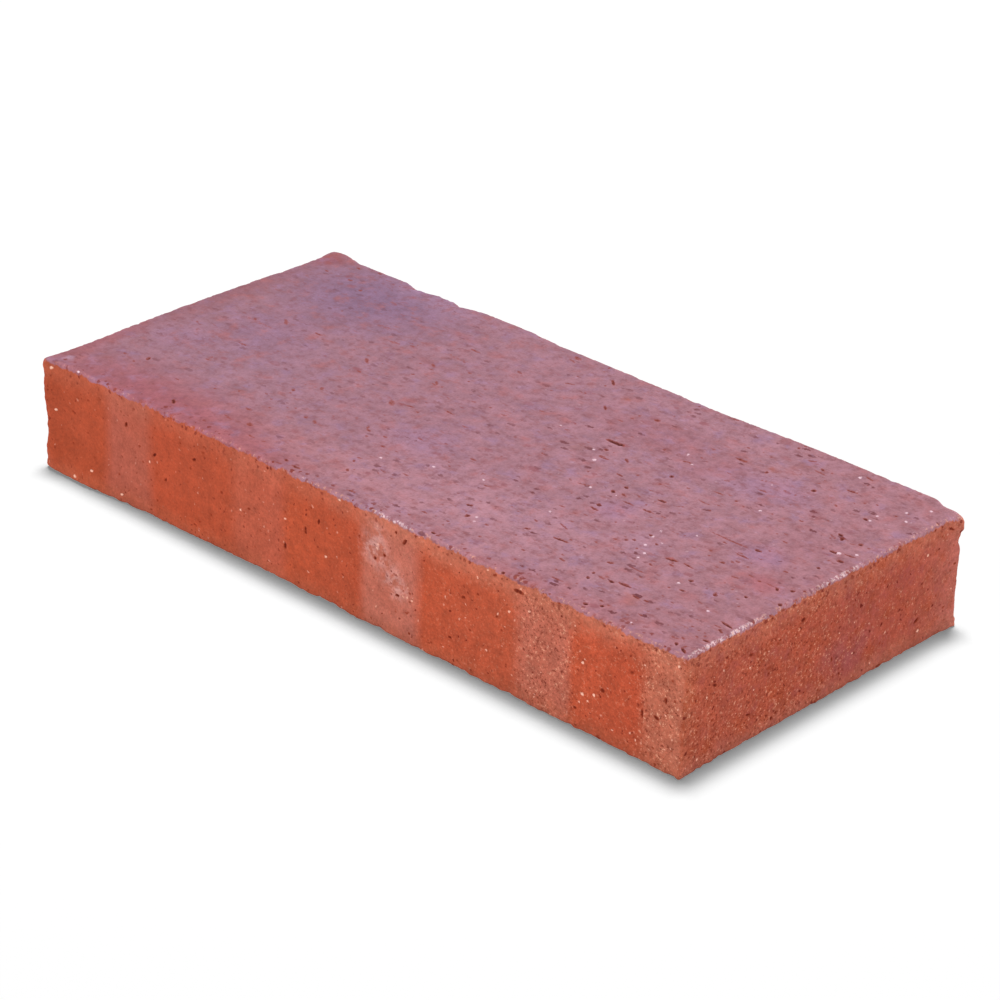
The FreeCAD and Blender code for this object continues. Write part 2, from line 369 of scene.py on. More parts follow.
# %% Slits and grains of the wearing face
TOP_SLITS = (
    (25, 16.8, 3.0, 0.75, 0.30, 2), (26.6, 17, 0.9, 0.7, 0.35, 0), (74.5, -1.4, 6.0, 0.3, 0.15, -1),
    (81, -5.1, 2.3, 0.3, 0.18, -4), (71.8, -17.6, 1.7, 0.45, 0.25, 12), (76, -17, 1.5, 0.32, 0.2, -6),
    (49, -28, 2.4, 0.36, 0.25, 4), (69.5, -26.3, 3.0, 0.26, 0.15, 0), (77.5, -35.7, 1.2, 0.32, 0.2, -8),
    (72.3, -33.3, 2.0, 0.55, 0.2, 0), (69.4, -34.2, 0.7, 0.5, 0.3, 0), (94, -11, 2.4, 0.26, 0.15, 0),
    (95.9, -11.4, 0.8, 0.4, 0.25, -50), (86.5, -13.7, 1.2, 0.28, 0.15, 8),
    (82, -0.7, 1.0, 0.45, 0.25, 0), (53, -3.8, 1.9, 0.36, 0.2, 3), (47.3, -4, 1.9, 0.32, 0.2, 0),
    (44, -11.5, 1.4, 0.42, 0.2, -8), (43.5, -9.4, 0.8, 0.5, 0.25, -10),
    (41.2, -2.1, 0.8, 0.55, 0.25, -40), (44, -1.7, 1.0, 0.4, 0.2, -20), (93.7, 10.6, 1.2, 0.5, 0.35, 0),
    (97.3, 11.6, 1.6, 0.3, 0.2, 8), (97.6, 8.3, 0.8, 0.42, 0.25, -10), (96, 2.5, 0.6, 0.45, 0.3, -20),
    (95.7, 17.6, 0.6, 0.6, 0.3, 0), (91.2, 16.8, 0.5, 1.0, 0.25, 30),
    (89.8, 18.1, 0.8, 0.45, 0.25, -10), (89, 28, 0.8, 0.5, 0.25, -20), (72.2, 30.8, 0.6, 0.7, 0.25, 0),
    (67, 40.6, 0.8, 0.45, 0.2, -35), (78.6, 36.7, 1.6, 0.4, 0.2, 5), (51, 31, 1.8, 0.5, 0.2, 0),
    (59, 30.3, 0.5, 0.7, 0.2, 20), (52, 2.2, 1.3, 0.5, 0.3, 5), (45.5, 13, 0.6, 0.65, 0.3, 0),
    (36.8, 5.1, 1.1, 0.4, 0.2, -8), (42, 1.5, 0.7, 0.5, 0.25, -10), (33, 11.8, 1.3, 0.4, 0.2, -35),
    (26, 12.6, 0.8, 0.6, 0.2, 0), (28.6, 8.9, 1.6, 0.3, 0.2, 5), (24, 32.7, 0.9, 0.6, 0.2, 0),
    (11, 29, 1.5, 0.4, 0.2, -42), (2.8, 41, 1.9, 0.45, 0.2, -42), (80.8, -21.7, 0.7, 0.6, 0.3, 0),
    (93.5, -18.7, 0.5, 0.5, 0.35, 0), (98.7, -9.7, 0.6, 0.5, 0.3, 0), (82.3, -26.3, 0.8, 0.4, 0.25, 10),
    (64.6, -36.4, 0.6, 0.45, 0.35, -40), (64, -34, 0.5, 0.4, 0.25, -60), (63.5, -28, 0.8, 0.5, 0.2, 20),
    (61.3, -12.2, 0.8, 0.4, 0.25, -15), (75, -43.6, 0.6, 0.5, 0.3, 0), (72, -45.3, 0.6, 0.6, 0.3, 0),
    (40.3, -29.3, 1.0, 0.4, 0.2, 25), (23.8, -30.3, 0.9, 0.5, 0.25, 15), (27, -34.3, 0.7, 0.8, 0.2, 0),
    (27.5, -45.5, 0.8, 0.4, 0.3, -10), (-33, 24, 5.0, 0.8, 0.06, 0), (-58, 24, 3.5, 0.9, 0.06, 0),
    (-77, 8.6, 2.0, 0.6, 0.12, -40), (-81, 3.5, 6.0, 0.8, 0.06, 0), (-46.7, 7, 1.8, 0.6, 0.14, -38),
    (-25.5, -5.6, 1.9, 0.9, 0.12, -40), (-83.7, -30.5, 1.1, 0.6, 0.2, -55),
    (98.5, -31, 2.2, 0.4, 0.25, -12), (-61.5, -42, 1.4, 0.5, 0.25, -40),
    (-40, -37.5, 1.2, 0.8, 0.15, -25), (-46.3, -32, 1.2, 0.6, 0.15, 0),
    (-30.5, -25.8, 1.2, 0.6, 0.13, -40), (-34, -25.3, 0.9, 0.6, 0.13, -30),
    (-42.6, -12, 1.1, 0.5, 0.14, -50), (-46.8, -17.2, 0.9, 0.5, 0.15, -50),
    (-26, 10, 1.1, 0.5, 0.14, -40), (-20.5, -44.2, 0.9, 0.5, 0.18, -30), (-16.5, -45, 1.5, 0.5, 0.2, 0),
    (-7.4, -37.6, 0.8, 0.4, 0.18, -45), (-9.7, -33.3, 0.8, 0.4, 0.15, -50),
    (-10.5, -23.3, 0.8, 0.5, 0.14, 0), (-20, -18.8, 0.9, 0.4, 0.14, -50),
    (-12.5, 45, 1.5, 0.8, 0.14, -20), (-33.5, 16.5, 1.5, 0.5, 0.12, -30),
    (-89.8, -32.6, 0.7, 0.5, 0.12, -30), (-88.5, -10.3, 0.9, 0.8, 0.07, -40),
    (-74, -19.2, 1.0, 0.8, 0.08, -20), (-85, 38.5, 0.8, 0.8, 0.12, 0), (-78.3, 35.7, 0.6, 0.6, 0.12, 0),
    (80.2, -10.4, 0.6, 0.5, 0.2, 0), (88.2, -22.6, 0.5, 0.9, 0.2, 20),
    (100.6, -16.2, 0.7, 0.5, 0.3, -40), (60, -16.4, 0.6, 0.5, 0.2, 0), (58.8, -17.7, 0.5, 0.5, 0.2, 0),
    (55, -23.2, 0.7, 0.4, 0.14, 0), (64.8, -14.4, 0.6, 0.4, 0.22, -40),
    (99.2, -33.9, 1.0, 0.4, 0.2, -30), (97.5, -32.8, 1.0, 0.3, 0.18, 0),
    (96.3, -44.5, 0.8, 0.4, 0.25, -50), (99, -45.5, 1.4, 0.4, 0.25, -35),
    (99.8, -39.2, 1.0, 0.4, 0.25, 10),
)
TOP_GRAINS = (
    (93.5, 37, 0.5), (90, 31, 0.45), (96, 33.5, 0.5), (95.1, 10.8, 0.75), (98.3, 12.9, 0.6),
    (63.3, -16.5, 0.55), (61.9, -12.4, 0.5), (61.5, -9.2, 0.5), (65.4, -13.4, 0.4), (65.8, -19.6, 0.45),
    (66.1, -22, 0.4), (68.3, -5.1, 0.32), (79.6, -24.4, 0.45), (92, -29.4, 0.5), (38.3, -19.8, 0.5),
    (43, -3.1, 0.3), (36.4, -4.4, 0.55), (17.3, -19.2, 0.45), (29, -33.4, 0.45), (30, -35.3, 0.45),
    (27.7, 6.6, 0.7), (24, 10.5, 0.5), (10.2, 14.3, 0.4), (40.9, 24.2, 0.5), (44.8, 20.8, 0.45),
    (75.5, 43.2, 0.6), (96.8, 41.6, 0.5), (64, 26.1, 0.4), (70.3, 14.2, 0.5), (90.2, 28.1, 0.5),
    (5, -22.5, 0.5), (-6.5, -28, 0.6), (84, -44.6, 0.3),
)
print(len(TOP_SLITS), "slits and", len(TOP_GRAINS), "grains on the wearing face")

# %% Pits and grains of the front
FRONT_PITS = (
    (20.7, 24.8, 1.1, 0.4, 0.6, 48), (18, 26.2, 0.5, 0.4, 0.2, 30), (11.6, 17.5, 0.5, 0.5, 0.2, 0),
    (18.6, 10.9, 0.7, 0.35, 0.25, 10), (14.5, 19.2, 0.5, 0.45, 0.2, 0), (-17.6, 9.6, 0.5, 1.0, 0.25, 0),
    (-72.4, 21, 0.5, 0.8, 0.25, -25), (-62.5, 16.5, 1.0, 0.4, 0.2, 38),
    (-58.7, 11.4, 0.8, 0.4, 0.2, 45), (-48.3, 20.3, 0.8, 0.45, 0.2, 20),
    (-6.5, 19.7, 0.4, 0.9, 0.2, -10), (-10.8, 16, 0.45, 1.1, 0.2, 0), (48.8, 17.6, 0.35, 0.35, 0.25, 0),
    (38.8, 18.3, 0.7, 0.4, 0.2, 10), (72.1, 5, 0.45, 0.35, 0.3, 0), (90.6, 11.5, 0.3, 1.4, 0.25, 0),
    (79.6, 12.2, 0.7, 0.5, 0.25, 0), (50.2, 28.7, 0.9, 0.4, 0.25, 40),
    (63.8, 29.1, 0.8, 0.35, 0.25, 35), (-23.2, 27.2, 0.5, 0.35, 0.2, 0), (55, 26, 1.6, 0.5, 0.15, 0),
    (96.8, 17, 0.5, 0.8, 0.25, 0), (94.5, 12, 0.9, 0.5, 0.2, -20), (35, 7, 0.6, 0.4, 0.15, 0),
)
FRONT_GRAINS = (
    (73.8, 16.5, 0.5), (86.9, 17.1, 0.35), (74, 9.2, 0.6), (75.6, 8.1, 0.5), (77.3, 10.2, 0.6),
    (59.2, 4.5, 0.35), (99.8, 26.2, 0.45), (34.6, 18.4, 0.35), (-17.5, 16.4, 0.5), (-4.3, 11.8, 0.5),
    (-64.2, 14.2, 0.5), (-84.2, 5.2, 0.6), (-97.3, 16.4, 0.6), (-90, 1.8, 0.7), (-74, 2.3, 0.6),
    (21.8, 11.6, 0.4), (23.2, 11.4, 0.4), (51.4, 16.2, 0.35), (58.3, 22.5, 0.5), (-32.4, 13.2, 0.5),
    (0.2, 27.6, 0.5), (2.3, 29, 0.5), (-11.5, 29, 0.6), (-89.6, 29, 0.7), (-98, 27.2, 0.7),
)
print(len(FRONT_PITS), "pits and", len(FRONT_GRAINS), "grains on the front")

# %% Pits and grains of the right end
RIGHT_PITS = (
    (33, 6.7, 1.1, 0.5, 0.35, 28), (2.3, 9, 0.35, 0.8, 0.25, 0), (37.2, 27.6, 0.5, 0.3, 0.12, 60),
    (39.6, 27.6, 0.9, 0.25, 0.12, -50), (42.6, 26.2, 1.3, 0.3, 0.15, -35),
    (45.6, 24.6, 0.9, 0.3, 0.2, -60), (-16.4, 21, 0.5, 0.25, 0.25, 0), (-26, 21.2, 0.9, 0.35, 0.2, -10),
    (-37.5, 18.6, 0.9, 0.4, 0.2, -35), (-8.8, 22.9, 0.8, 0.6, 0.2, 0),
    (-25.6, 6.7, 1.1, 0.3, 0.25, -18), (-19.6, 14.2, 0.4, 0.3, 0.2, 0), (5.5, 4.3, 0.3, 0.5, 0.25, 30),
    (-17.5, 2.5, 0.4, 0.6, 0.25, 0), (19.8, 0.6, 0.9, 0.3, 0.3, 0),
)
RIGHT_GRAINS = (
    (-47.6, 19, 0.3), (-48, 21.3, 0.4), (-20.1, 19.7, 0.35), (-15.7, 16.5, 0.3), (-32.4, 14.7, 0.35),
    (-45.5, 2.1, 0.35), (-42, 2.8, 0.4), (-43.2, 26, 0.25), (-19, 25.2, 0.3), (-37.9, 20.6, 0.3),
    (-24.3, 12.2, 0.4), (21.2, 8.3, 0.4), (33.8, 3.9, 0.6), (30.6, 13.2, 0.4), (4.3, 14.6, 0.35),
    (-40, 16.6, 0.5), (-26.2, 18.2, 0.4), (16.5, 2.5, 0.5), (35, 22.3, 0.5), (9.7, 7.7, 0.4),
)
print(len(RIGHT_PITS), "pits and", len(RIGHT_GRAINS), "grains on the right end")

# %% Make the placed marks
GRAIN_RISE = 0.1
# The grains of each face: length and width as shares of their size, lean, and how pale the smallest is.
GRAIN_SHAPES = {"top": (1.0, 0.8, -40, 0.5), "front": (0.85, 0.65, 25, 0.55), "right": (0.85, 0.65, 25, 0.55)}
PITS = {"top": TOP_SLITS, "front": FRONT_PITS, "right": RIGHT_PITS}
GRAINS = {"top": TOP_GRAINS, "front": FRONT_GRAINS, "right": RIGHT_GRAINS}
for face, pits in PITS.items():
    for across, up_place, half_length, half_width, depth, lean in pits:
        # On the wearing face a deeper slit is painted darker, as painted shade in its hollow.
        darkness = min(1, 4.0 * depth) if face == "top" else 1.0
        mark(face, across, up_place, half_length, half_width, depth, lean, darkness)
    long, wide, lean, paleness = GRAIN_SHAPES[face]
    for across, up_place, half in GRAINS[face]:
        mark(face, across, up_place, long * half, wide * half, -GRAIN_RISE, lean, paleness + 0.5 * half)
print("torn points:", int((torn_and_shaded > 0.1).sum()), "pale points:", int((pale > 0.1).sum()))

# %% [markdown]
# The small marks aren't placed by hand. On the faces that the wire cut, grit is dragged along, so they
# stretch, and there are more of them towards the right end of the wearing face.

# %% Scatter the small marks
SCATTER = {"top": 420, "bed": 260, "front": 150, "back": 150, "right": 110, "left": 90}
for face, count in SCATTER.items():
    _, _, (one, two) = FACES[face]
    for _ in range(count):
        across = random.uniform(LOW[one] + 1, HIGH[one] - 1)
        if face == "top":
            across = random.triangular(LOW[one], HIGH[one] - 2, HIGH[one])
        deep = random.uniform(LOW[two] + 0.5, HIGH[two] - 0.5)
        half_width = random.uniform(0.22, 0.42)
        stretch = random.exponential(1.3) if face in ("top", "bed") else random.exponential(0.4)
        half_length = min(half_width * (1 + stretch), 2.6)
        mark(face, across, deep, half_length, half_width, random.uniform(0.06, 0.2),
             random.normal(0, 12), random.uniform(0.2, 0.7))
print("torn points:", int((torn_and_shaded > 0.1).sum()), "pale points:", int((pale > 0.1).sum()))

# %% [markdown]
# Fired clay has a fine tooth all over, a few hundredths of a millimetre high. Close to an arris the clay
# crumbles more, and most of all along the foot, where the wet paver stood on grit.

# %% Roughen the skin
crumble = np.exp(-(from_arris / 1.1) ** 2)
tooth = 0.03 * lumps(flat_points, 1.1, 5) + 0.02 * lumps(flat_points, 0.7, 6)
tooth += crumble * (0.03 * lumps(flat_points, 1.6, 7) + 0.04 * lumps(flat_points, 0.8, 8))
at_bed = crumble * ease(3.5, 1.0, z) * (1 - 0.5 * ease(RIGHT - 3, RIGHT - 1, x))
tooth += at_bed * (0.16 * lumps(flat_points, 2.2, 11) + 0.10 * lumps(flat_points, 0.9, 12))
points += dent + outward * tooth[:, None]
points[:, 2] = np.maximum(points[:, 2], BED + 0.01)  # nothing goes through the table
print("relief, mm:", np.abs(dent).max().round(2))

# %% [markdown]
# ## From skin to mesh
# The skin has far more faces than the flats need. A Decimate modifier keeps them where the relief is and
# lets them go where it is flat. What a point is (torn and painted with shade, pale, near an arris)
# then travels with the mesh as attributes, which the material reads.

# %% Build the mesh
MOST_TRIANGLES = 190000


def mesh_of(name, where, quads):
    """A mesh object from points in mm and faces."""
    mesh = bpy.data.meshes.new(name)
    mesh.vertices.add(len(where))
    mesh.vertices.foreach_set("co", (where * MM).astype(np.float32).ravel())
    mesh.loops.add(quads.size)
    mesh.loops.foreach_set("vertex_index", quads.astype(np.int32).ravel())
    mesh.polygons.add(len(quads))
    mesh.polygons.foreach_set("loop_start", np.arange(0, quads.size, 4, dtype=np.int32))
    mesh.update(calc_edges=True)
    mesh.validate()
    piece = bpy.data.objects.new(name, mesh)
    bpy.context.scene.collection.objects.link(piece)
    return piece


paver = mesh_of("paver_fired_clay", points, faces)
for name, values in (("torn_and_shaded", torn_and_shaded), ("pale", pale), ("crumble", crumble)):
    attribute = paver.data.attributes.new(name, "FLOAT", "POINT")
    attribute.data.foreach_set("value", values.astype(np.float32))

# %% Thin the mesh
triangles = 2 * len(faces)
thin = paver.modifiers.new("thin", "DECIMATE")
thin.ratio = min(1, MOST_TRIANGLES / triangles)
bpy.context.view_layer.update()
thinned = bpy.data.meshes.new_from_object(paver.evaluated_get(bpy.context.evaluated_depsgraph_get()))
paver.modifiers.clear()
paver.data = thinned
thinned.name = "paver_fired_clay"
thinned.shade_smooth()
print(triangles, "triangles thinned to", len(thinned.polygons), "attributes", list(thinned.attributes.keys()))

# %% Put the paver on its frame
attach(paver, "root")
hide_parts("paver")
paver.visible_diffuse = False  # the clay's red bounce would tint the pale table

# %% [markdown]
# ## The material: flashed, fired clay
# Fired clay is a matt dielectric: an IOR near 1.5, no metal, and a roughness close to one because the
# surface is open and sandy. Its colour does the work. The body is iron-rich clay, orange-red where the
# air was clean, and mauve on the face that the kiln gas flashed.
# Colours are written as sRGB hex, and one function turns them to the linear values that nodes need.
# One small function adds any node, with its settings and its wires.

# %% Helpers for nodes
material = bpy.data.materials.new("flashed_fired_clay")
material.use_nodes = True
tree = material.node_tree
tree.nodes.clear()


def colour(text):
    """An sRGB hex colour as linear red, green, blue and alpha."""
    shades = [int(text[i:i + 2], 16) / 255 for i in (1, 3, 5)]
    return [s / 12.92 if s <= 0.04045 else ((s + 0.055) / 1.055) ** 2.4 for s in shades] + [1]


def add(kind, inputs=None, out=0, **settings):
    """Adds a node to the tree in hand, sets it, wires it, and gives one of its outputs."""
    node = tree.nodes.new("ShaderNode" + kind)
    for name, value in settings.items():
        setattr(node, name, value)
    for name, value in (inputs or {}).items():
        if isinstance(value, bpy.types.NodeSocket):
            tree.links.new(value, node.inputs[name])
        else:
            node.inputs[name].default_value = value
    return node.outputs[out]


FACTOR, FIRST, SECOND, MIXED = 0, 6, 7, 2

# %% [markdown]
# ### Places on the paver
# All patterns are worked out from the object's own coordinates in mm, so a grain of 0.5 mm is a grain of
# 0.5 mm. A slow wobble of about a millimetre makes the borders of bands and patches look natural.

# %% Coordinates in mm
place = add("VectorMath", {0: add("TexCoord", out="Object"), "Scale": 1 / MM}, operation="SCALE")
HALVES = (0.5, 0.5, 0.5)
SLOW_WOBBLE = (7.0, 7.0, 7.0)
slow_noise = add("TexNoise", {"Vector": place, "Scale": 1 / 6.0, "Detail": 3.0, "Roughness": 0.6},
                 out="Color")
slow_wobble = add("VectorMath", {0: slow_noise, 1: HALVES}, operation="SUBTRACT")
wobbled = add("VectorMath", {0: slow_wobble, 1: SLOW_WOBBLE, 2: place}, operation="MULTIPLY_ADD")
along, across, height = [add("SeparateXYZ", {0: place}, out=axis) for axis in "XYZ"]
soft_along, soft_across, soft_height = [add("SeparateXYZ", {0: wobbled}, out=axis) for axis in "XYZ"]
facing = add("NewGeometry", out="Normal")
facing_x, facing_y = [add("SeparateXYZ", {0: facing}, out=axis) for axis in "XY"]


def step(value, start, end, low=0.0, high=1.0):
    """A smooth step of a value between two places."""
    ends = {"From Min": start, "From Max": end, "To Min": low, "To Max": high}
    return add("MapRange", {"Value": value} | ends, interpolation_type="SMOOTHSTEP")


def patch(middle, reach, axes=(0, 1), soft=0.9):
    """A soft-edged patch about a place on a face: 1 at its middle, 0 outside its reach, both in mm."""
    centre_3d, scale_3d = [0.0] * 3, [0.0] * 3
    for axis, where, half in zip(axes, middle, reach):
        centre_3d[axis], scale_3d[axis] = float(where), 1.0 / half
    away = add("VectorMath", {0: wobbled, 1: centre_3d}, operation="SUBTRACT")
    away = add("VectorMath", {0: away, 1: scale_3d}, operation="MULTIPLY")
    return step(add("VectorMath", {0: away}, out="Value", operation="LENGTH"), 1.0, 1.0 - soft)


def scaled(value, amount):
    """A value times a number or another value."""
    return add("Math", {0: value, 1: amount}, operation="MULTIPLY")


def tinted(under, over, amount):
    """One colour laid over another."""
    return add("Mix", {FACTOR: amount, FIRST: under, SECOND: over}, out=MIXED, data_type="RGBA")


# %% [markdown]
# ### The body clay on the sides
# Pavers are set on edge in the kiln with gaps between them. Where a neighbour stood close the side fires
# to a cooler pink, and elsewhere it burns orange-red, so upright bands run across the long sides. A
# colour ramp along the length holds them, one stop at each band's border.

# %% Bands on the front
BANDS = (
    (-102, "#ac4729"), (-93, "#b04b2d"), (-81, "#b44d2f"), (-77, "#b45c4a"), (-66, "#b35b48"),
    (-62, "#b74d30"), (-37, "#b74e30"), (-33, "#bb5b43"), (-20, "#bb5942"), (-16, "#bb5132"),
    (6, "#b94f31"), (9, "#bf6d5b"), (23, "#c06d5c"), (27, "#bd5234"), (53, "#bd5538"), (57, "#bf6a56"),
    (69, "#bf6955"), (71.5, "#c15436"), (89, "#c05134"), (92.5, "#c06a52"), (102, "#c06e57"),
)


def ramp(value, stops):
    """A colour ramp over a length in mm, with a stop at each given place."""
    first, last = stops[0][0], stops[-1][0]
    span = add("MapRange", {"Value": value, "From Min": first, "From Max": last})
    colours = add("ValToRGB", {0: span})
    elements = colours.node.color_ramp.elements
    while len(elements) < len(stops):
        elements.new(0.5)
    for element, (where, shade) in zip(elements, stops):
        element.position = (where - first) / (last - first)
        element.color = colour(shade)
    return colours


band_place = add("Math", {0: scaled(soft_along, 0.3), 1: scaled(along, 0.7)}, operation="ADD")
front_clay = ramp(band_place, BANDS)
print(len(BANDS), "stops on the front")

# %% Bands on the back and shades of the ends
BACK_BANDS = (
    (-102, "#b65739"), (-84, "#b95234"), (-60, "#b74f32"), (-56, "#b7604c"), (-38, "#b55e4b"),
    (-35, "#b85133"), (-2, "#ba5335"), (2, "#ba5f4a"), (21, "#b85f4a"), (25, "#b85031"),
    (58, "#b64e30"), (63, "#b75b47"), (78, "#b55944"), (82, "#b64d30"), (102, "#b24b32"),
)
back_clay = ramp(band_place, BACK_BANDS)
END_SHADES = (
    (-48, "#bf664a"), (-43, "#b85841"), (-34, "#b45540"), (-20, "#b3533d"), (-6, "#b1513b"),
    (8, "#aa5041"), (16, "#ac5040"), (28, "#af503d"), (40, "#b65e4f"), (48, "#c06d61"),
)
end_clay = ramp(soft_across, END_SHADES)
print(len(BACK_BANDS), "stops on the back,", len(END_SHADES), "on the ends")

# %% The body, side by side
on_back = step(facing_y, 0.3, 0.7)
on_end = step(add("Math", {0: facing_x}, operation="ABSOLUTE"), 0.55, 0.85)
body = tinted(front_clay, back_clay, on_back)
body = tinted(body, end_clay, on_end)
# The last few millimetres above the bed are paler, and more so on the ends.
body = tinted(body, colour("#c8694c"), step(soft_height, 5.5, 0.5, 0.0, 0.4))
body = tinted(body, colour("#d08070"), scaled(on_end, step(soft_height, 5.5, 1.0, 0.0, 0.3)))
print("nodes in the body:", len(tree.nodes))

# %% [markdown]
# The upper edge of the long sides is rubbed paler and pinker by handling, a whitish bloom of salts
# (efflorescence) dried on one of the bands, and broad clouds shift the shade a little.

# %% Clouds and rubbed edge
clouds = add("TexNoise", {"Vector": place, "Scale": 1 / 14.0, "Detail": 3.0, "Roughness": 0.55})
cloud_shade = step(clouds, 0.3, 0.7, 0.0, 0.30)
body = tinted(body, colour("#a94c34"), cloud_shade)
rubbed = scaled(step(soft_height, CREST - 7.5, CREST - 1.5), step(along, -30, 40, 0.25, 0.75))
rubbed = scaled(rubbed, step(on_end, 0, 1, 1.0, 0.7))
body = tinted(body, colour("#c9735a"), rubbed)
print("nodes with clouds and rubbing:", len(tree.nodes))

# %% Bloom and stain
on_front = step(facing_y, -0.5, -0.8)
bloom_spots = add("TexNoise", {"Vector": place, "Scale": 1 / 3.0, "Detail": 4.0, "Roughness": 0.65})
upper_bloom = patch((12, 20.5), (6.5, 7.5), (0, 2))
lower_bloom = patch((18, 14), (6.5, 5.5), (0, 2))
bloom = add("Math", {0: upper_bloom, 1: lower_bloom}, operation="MAXIMUM")
bloom = scaled(scaled(bloom, step(bloom_spots, 0.40, 0.60)), scaled(on_front, 0.75))
body = tinted(body, colour("#d6a09a"), bloom)
mauve_stain = scaled(patch((8, 9), (13, 8), (1, 2)), scaled(on_end, 0.35))
body = tinted(body, colour("#9c5560"), mauve_stain)
print("nodes with bloom and stain:", len(tree.nodes))

# %% [markdown]
# ### The flashed wearing face
# Where the gas reached it the iron turned and the face went mauve: rosier in front, bluer at the back
# left where the flame was, with lavender clouds and the orange body showing at a few thin spots. Along
# the near edge a broad patch is painted lighter as well: painted light.

# %% Mauve and its patches
MAUVES = ((-102, "#a47683"), (-60, "#a67886"), (-10, "#ab7a87"), (50, "#b07e8a"), (102, "#b17b85"))
flashed = ramp(along, MAUVES)
# Each patch: its middle and its reach (x and y, mm), its colour, and how strong it is.
TOP_PATCHES = (
    # The first patch paints the near strip of the wearing face lighter: painted light.
    ((-20, -38), (84, 13), "#ba8086", 0.5), ((-72, 34), (38, 28), "#8a6c8a", 0.8),
    ((-60, 46), (24, 10), "#aa849e", 0.6), ((-76, 2), (20, 22), "#96708c", 0.4),
    ((-68, -8), (30, 18), "#a07a90", 0.3), ((-64, -46), (62, 22), "#aa5e67", 0.8),
    ((62, -50), (62, 14), "#b46f77", 0.5), ((40, -43), (14, 5), "#b8848c", 0.4),
    ((-101, 12), (10, 44), "#98646e", 0.8), ((-100, -30), (6, 20), "#a8585c", 0.5),
    ((-6, -14), (14, 12), "#ab82a0", 0.45), ((-88, -16), (12, 10), "#a880a0", 0.3),
    ((66, 24), (16, 10), "#aa80a0", 0.45), ((58, 20), (12, 8), "#a88099", 0.35),
    ((84, -2), (10, 7), "#b080a4", 0.4), ((48, -8), (8, 8), "#aa7fa2", 0.4),
    ((63, -16), (7, 9), "#b88fa6", 0.35), ((92, -12), (9, 6), "#b05c64", 0.5),
    ((32, 27), (32, 13), "#a46874", 0.45), ((88, 8), (9, 6), "#a86a74", 0.3),
    ((-35, 17), (10, 3), "#a05a5c", 0.35), ((-40, 34), (8, 3), "#a65e66", 0.4),
    ((52, 26), (6, 8), "#a4606a", 0.3), ((11.8, 35.8), (2.2, 2.0), "#a8543c", 0.6),
    ((59.5, 33.2), (2.4, 1.6), "#9c4a35", 0.6), ((62.5, 38.5), (3, 4), "#94524c", 0.4),
    ((-98, 44), (6, 7), "#a04e48", 0.75), ((48, 18), (7, 7), "#a06470", 0.4),
    ((-97.5, -44.5), (2.4, 1.8), "#c8a4bc", 0.7), ((20, 9), (5, 3), "#9c6458", 0.3),
    ((26, -30), (56, 20), "#c28d9a", 0.5), ((-34, -46), (26, 7), "#b4646a", 0.5),
    ((71, -17.6), (2.4, 1.2), "#b05040", 0.6), ((77.5, -37), (3, 1.6), "#b06050", 0.4),
)
for middle, reach, shade, strength in TOP_PATCHES:
    flashed = tinted(flashed, colour(shade), scaled(patch(middle, reach), strength))
print(len(TOP_PATCHES), "patches on the wearing face")

# %% Haze and drag streaks
drag = add("VectorMath", {0: place, 1: (0.4, 1.0, 1.0)}, operation="MULTIPLY")
haze = add("TexNoise", {"Vector": place, "Scale": 1 / 5.0, "Detail": 4.0, "Roughness": 0.6})
flashed = tinted(flashed, colour("#a37e9c"), step(haze, 0.5, 0.75, 0.0, 0.6))
flashed = tinted(flashed, colour("#b06c70"), step(haze, 0.49, 0.27, 0.0, 0.7))
streaks = add("TexNoise", {"Vector": drag, "Scale": 1 / 1.3, "Detail": 3.0, "Roughness": 0.7})
flashed = tinted(flashed, colour("#a05a58"), step(streaks, 0.55, 0.75, 0.0, 0.55))
print("nodes with the flashed face:", len(tree.nodes))

# %% [markdown]
# The mauve skin ends at the arris. Its border wanders by about half a millimetre. Where the arris was
# rubbed, raw grains show as tan crumbs, and in places salts dried on them as a whitish line.

# %% Where the flash ends
border_noise = add("TexNoise", {"Vector": place, "Scale": 1 / 4.0, "Detail": 4.0, "Roughness": 0.65})
border_crumbs = add("TexNoise", {"Vector": place, "Scale": 1 / 1.3, "Detail": 2.0, "Roughness": 0.6})
border = add("Math", {0: step(border_noise, 0.25, 0.75, -0.4, 0.4), 1: height}, operation="ADD")
border = add("Math", {0: step(border_crumbs, 0.3, 0.7, -0.35, 0.35), 1: border}, operation="ADD")
is_top = step(border, CREST - 1.1, CREST - 0.6)
skin_colour = tinted(body, flashed, is_top)
print("the flash ends at about, mm:", round(float(CREST) - 0.85, 2))

# %% Crumbs and salts along the arris
crumbly = add("Attribute", out="Fac", attribute_name="crumble")
crumbs = add("TexNoise", {"Vector": place, "Scale": 1 / 0.8, "Detail": 3.0, "Roughness": 0.7})
near_top_arris = scaled(step(crumbly, 0.5, 0.95), step(height, CREST - 2.2, CREST - 0.8))
near_corner = patch((-36, RIGHT), (18, 30), (1, 0))
mid_end = patch((3, RIGHT), (11, 30), (1, 0))
salted = add("Math", {0: near_corner, 1: mid_end}, operation="MAXIMUM")
end_line = scaled(step(along, RIGHT - 1.6, RIGHT - 0.9), step(salted, 0.0, 0.8, 0.1, 1.0))
front_line = scaled(step(across, FRONT + 1.6, FRONT + 0.9), patch((16, FRONT), (11, 30), (0, 1)))
pale_line = add("Math", {0: end_line, 1: front_line}, operation="MAXIMUM")
pale_line = scaled(scaled(pale_line, near_top_arris), step(crumbs, 0.48, 0.57))
skin_colour = tinted(skin_colour, colour("#f4dce4"), pale_line)
tan_line = scaled(near_top_arris, step(crumbs, 0.55, 0.62))
tan_line = scaled(tan_line, step(along, -80, 10, 0.35, 0.8))
skin_colour = tinted(skin_colour, colour("#dda08e"), tan_line)
print("nodes with the arris:", len(tree.nodes))
